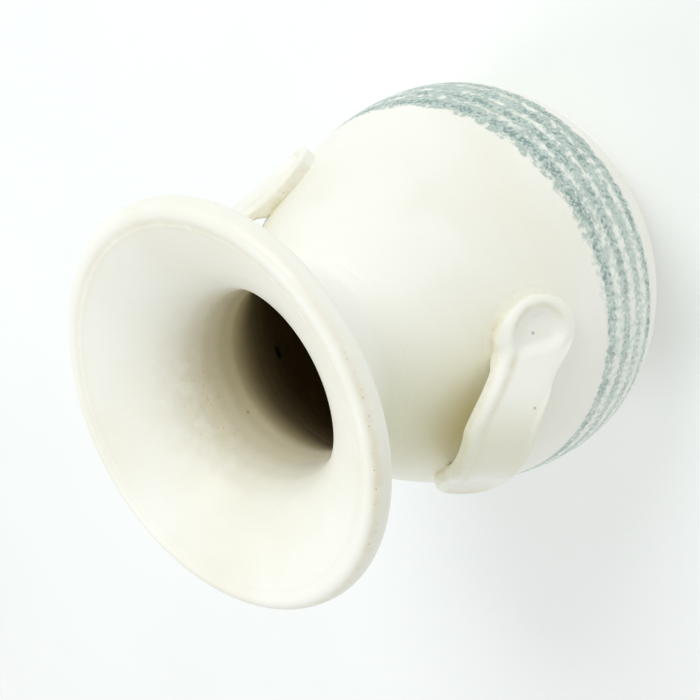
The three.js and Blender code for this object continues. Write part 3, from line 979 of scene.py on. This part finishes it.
def lug_grid():
    """Loft of the strap: middle line plus across times share plus outward times thickness and relief, then
    seated on the wall. Gives the points and their marks."""
    angle = end_angle * np.sin(np.linspace(-1, 1, LUG_STATIONS) * STATION_REACH * np.pi)[:, None]
    round_section = np.linspace(0, 2 * np.pi, LUG_CORNERS, endpoint=False)[None, :]
    cosine, sine = np.cos(round_section), np.sin(round_section)
    share = np.sign(cosine) * np.abs(cosine) ** SQUARENESS
    bulge = np.sign(sine) * np.abs(sine) ** SQUARENESS

    from_press = (press_angle - np.abs(angle)) * press_radius
    climb = soft_step(from_press, 0, LUG_CLIMB)
    arch = (1 + np.cos(np.pi * np.minimum(np.abs(angle) / press_angle, 1) ** ARCH_FULLNESS)) / 2
    foot_height = lug_height + LUG_RISE * climb
    middle_radius, middle_height, slope = wall_at(foot_height, mixed(PRESS_LIFT, STRAP_STAND_OFF, arch))
    lean = mixed(slope, STRAP_LEAN, arch)

    beyond = np.maximum(-from_press, 0) / PRESS_REACH
    width = mixed(STRAP_WIDTH, PRESS_WIDTH, soft_step(np.abs(angle), press_angle / 3, press_angle))
    half_width = width / 2 * np.sqrt(np.maximum(1 - beyond**2, TINY))
    rounded = np.minimum(1, END_ROUNDING + half_width / STRAP_WIDTH)
    half_thickness = mixed(PRESS_THICKNESS, STRAP_THICKNESS, arch) / 2 * rounded

    waist = WAIST * bump(from_press, WAIST_PLACE, WAIST_LENGTH) * (share < 0)
    sideways = share * (half_width - waist)
    relief, toast = lug_relief(from_press, sideways, half_width)
    outward = half_thickness * bulge + relief * np.maximum(bulge, 0)
    radius = middle_radius - np.sin(lean) * sideways + np.cos(lean) * outward
    height = middle_height + np.cos(lean) * sideways + np.sin(lean) * outward
    gap, closed = seated(radius, height, bulge)
    shift = closed - gap
    grid = revolve(radius + np.cos(lean) * shift, height + np.sin(lean) * shift, angle)

    upper_side = soft_step(share, 0.5, 0.9) * (1 - soft_step(beyond, 0.5, 0.95))
    contact_toast = CONTACT_TOAST * bump(closed, CONTACT_HEIGHT, CONTACT_SPREAD) * upper_side
    side_toast = SIDE_TOAST * bump(share, 1.0, SIDE_TOAST_SPREAD)
    toast = toast * np.maximum(bulge, 0) + side_toast + contact_toast
    # Painted warm shade on the far half of the strap.
    pool = LUG_WARM_SHADE * soft_step(from_press, LUG_WARM_SHADE_START, LUG_WARM_SHADE_FULL)
    pool = np.broadcast_to(pool, toast.shape)
    return grid, {"toast": toast.clip(0, 1), "pool": pool}


lug, lug_marks = lug_grid()
make_piece("left_lug_skin", lug, glaze, "cream_glaze", ["left_lug"], **lug_marks)
make_piece("right_lug_skin", lug * HALF_TURN, glaze, "cream_glaze", ["right_lug"], **lug_marks)

# %% [markdown]
# Under each pressed end lies a bed of slip that was smoothed out with a finger. It is a low mound on the
# shoulder, a little larger than the pressed end, so that the end runs softly into the wall.

# %% The slip beds
BED_HEIGHT = 1.6
BED_MARGIN = 2.5
BED_ROWS = 30
BED_SKIN = 0.05
BED_TURNS = 96
BED_MIDDLE = 0.04
BED_FLAT = 0.6
BED_FALL = 0.3
BED_UNDERSIDE = 0.8


def bed_grid(side):
    """Mound on the wall: its height falls off as a cube with the distance from the press. It runs just
    under the wall at its edge and is closed below."""
    upper_rows = np.linspace(BED_MIDDLE, 1, BED_ROWS)
    share = np.concatenate([upper_rows, [BED_UNDERSIDE, BED_MIDDLE]])[:, None]
    offset = BED_HEIGHT * (1 - ((share - BED_FLAT) / BED_FALL).clip(0, 1)) ** 3 - BED_SKIN
    offset[BED_ROWS:] = SUNK
    bearing = np.linspace(2 * np.pi, 0, BED_TURNS, endpoint=False)[None, :]
    along = (PRESS_REACH + BED_MARGIN) * share * np.cos(bearing)
    up = (PRESS_WIDTH / 2 + BED_MARGIN) * share * np.sin(bearing)
    height = lug_height + up * np.cos(wall_at(lug_height)[2])
    angle = side * press_angle + along / press_radius
    radius, height, _ = wall_at(height, offset)
    return revolve(radius - hand_dent(angle, height), height, angle), pool_share(angle, height)


for end, side in (("a", -1), ("b", 1)):
    # Each bed carries the painted warm shade of the wall under it.
    bed, pool = bed_grid(side)
    make_piece(f"left_bed_{end}", bed, glaze, "cream_glaze", [f"left_lug_bed_{end}"], pool=pool)
    right_node = f"right_lug_bed_{end}"
    make_piece(f"right_bed_{end}", bed * HALF_TURN, glaze, "cream_glaze", [right_node], pool=pool)

# %% [markdown]
# The vase stands on a plain pale floor. The camera looks down on it from the side of the mouth, and it is
# rolled, as the photo shows the vase lying on its side. Two soft lamps and an even, slightly warm sky light
# it. The floor and the sky look nearly white to the camera, and give the vase no more light for that.

# %% Floor and sky
FLOOR_HALF = 4.0
FLOOR_CLOUDS = 6.0
FLOOR_TONES = ((0.92, 0.93, 0.92, 1), (0.94, 0.95, 0.94, 1))
FLOOR_SEEN_TONES = ((0.98, 1.01, 1.02, 1), (1.00, 1.03, 1.04, 1))
SKY = 0.68
SKY_TINT = (1.0, 1.0, 0.97)
BACKDROP = 0.94
scene = bpy.context.scene
corners = [(-FLOOR_HALF, -FLOOR_HALF, 0), (FLOOR_HALF, -FLOOR_HALF, 0),
           (FLOOR_HALF, FLOOR_HALF, 0), (-FLOOR_HALF, FLOOR_HALF, 0)]
floor_mesh = bpy.data.meshes.new("floor")
floor_mesh.from_pydata(corners, [], [(0, 1, 2, 3)])
floor = bpy.data.objects.new("floor", floor_mesh)
scene.collection.objects.link(floor)


def looked_at(tree):
    """1 for light that comes to the camera, straight, off a gloss or through glass, and 0 for the rest."""
    ray = tree.nodes.new("ShaderNodeLightPath").outputs
    kinds = {0: ray["Is Camera Ray"], 1: ray["Is Glossy Ray"]}
    either = add_node(tree, "ShaderNodeMath", kinds, operation="MAXIMUM").outputs["Value"]
    kinds = {0: either, 1: ray["Is Transmission Ray"]}
    return add_node(tree, "ShaderNodeMath", kinds, operation="MAXIMUM").outputs["Value"]


paper, tree, place, shader = ceramic("pale_floor")
faint = spread(tree, noise(tree, place, FLOOR_CLOUDS), 0.3, 0.7)
plain = blend(tree, faint, *FLOOR_TONES)
bright = blend(tree, faint, *FLOOR_SEEN_TONES)
tree.links.new(blend(tree, looked_at(tree), plain, bright), shader.inputs["Base Color"])
shader.inputs["Roughness"].default_value = 1.0
shader.inputs["Specular IOR Level"].default_value = 0.0
floor_mesh.materials.append(paper)

world = bpy.data.worlds.new("even_sky")
world.use_nodes = True
tree = world.node_tree
sky_light = tuple(SKY * share for share in SKY_TINT) + (1,)
backdrop = (BACKDROP, BACKDROP, BACKDROP, 1)
sky_colour = blend(tree, looked_at(tree), sky_light, backdrop)
tree.links.new(sky_colour, tree.nodes["Background"].inputs["Color"])
scene.world = world
print(f"sky of {SKY} behind a floor of {2 * FLOOR_HALF:.0f} metres")

# %% Lamps and camera
LAMP_DISTANCE = 2.4
LAMP_SIZE = 1.2
LAMP_TINT = (0.98, 0.99, 1.0)
LAMPS = {
    "key_lamp": (np.array([0.30, -0.65, 0.70]), 17.5),
    "fill_lamp": (np.array([0.25, 0.43, 0.87]), 7.5),
}
CAMERA_PLACE = np.array([-141.51, -190.10, 381.46]) * MM
CAMERA_HEADING = np.radians(54.0)
CAMERA_DIP = np.radians(45.446)
CAMERA_ROLL = np.radians(-117.785)
CAMERA_LENS = 49.77
CAMERA_SENSOR = 36.0
CAMERA_CLIP = 0.01


def turned_frame(right, up, back, place):
    """Placement whose X, Y and Z axes are the three directions."""
    axes = np.eye(4)
    axes[:3] = np.stack([right, up, back, place], -1)
    return Matrix(axes.tolist())


def aimed(back, place, roll=0.0):
    """Placement that looks against a direction: right is level, then turned by the roll."""
    level = np.cross([0, 0, 1], back)
    level /= np.linalg.norm(level)
    upright = np.cross(back, level)
    right = np.cos(roll) * level + np.sin(roll) * upright
    return turned_frame(right, np.cross(back, right), back, place)


for name, (direction, power) in LAMPS.items():
    lamp_data = bpy.data.lights.new(name, "AREA")
    lamp_data.shape = "DISK"
    lamp_data.size = LAMP_SIZE
    lamp_data.energy = power
    lamp_data.color = LAMP_TINT
    lamp = bpy.data.objects.new(name, lamp_data)
    toward_lamp = direction / np.linalg.norm(direction)
    lamp.matrix_world = aimed(toward_lamp, toward_lamp * LAMP_DISTANCE + [0, 0, total_height / 2 * MM])
    scene.collection.objects.link(lamp)

camera_data = bpy.data.cameras.new("camera")
camera_data.lens = CAMERA_LENS
camera_data.sensor_width = CAMERA_SENSOR
camera_data.clip_start = CAMERA_CLIP
camera = bpy.data.objects.new("camera", camera_data)
look_back = -np.array([
    np.cos(CAMERA_HEADING) * np.cos(CAMERA_DIP),
    np.sin(CAMERA_HEADING) * np.cos(CAMERA_DIP),
    -np.sin(CAMERA_DIP),
])
camera.matrix_world = aimed(look_back, CAMERA_PLACE, CAMERA_ROLL)
scene.collection.objects.link(camera)
scene.camera = camera
scene.view_settings.view_transform = "Standard"
print("camera at", CAMERA_PLACE.round(3))
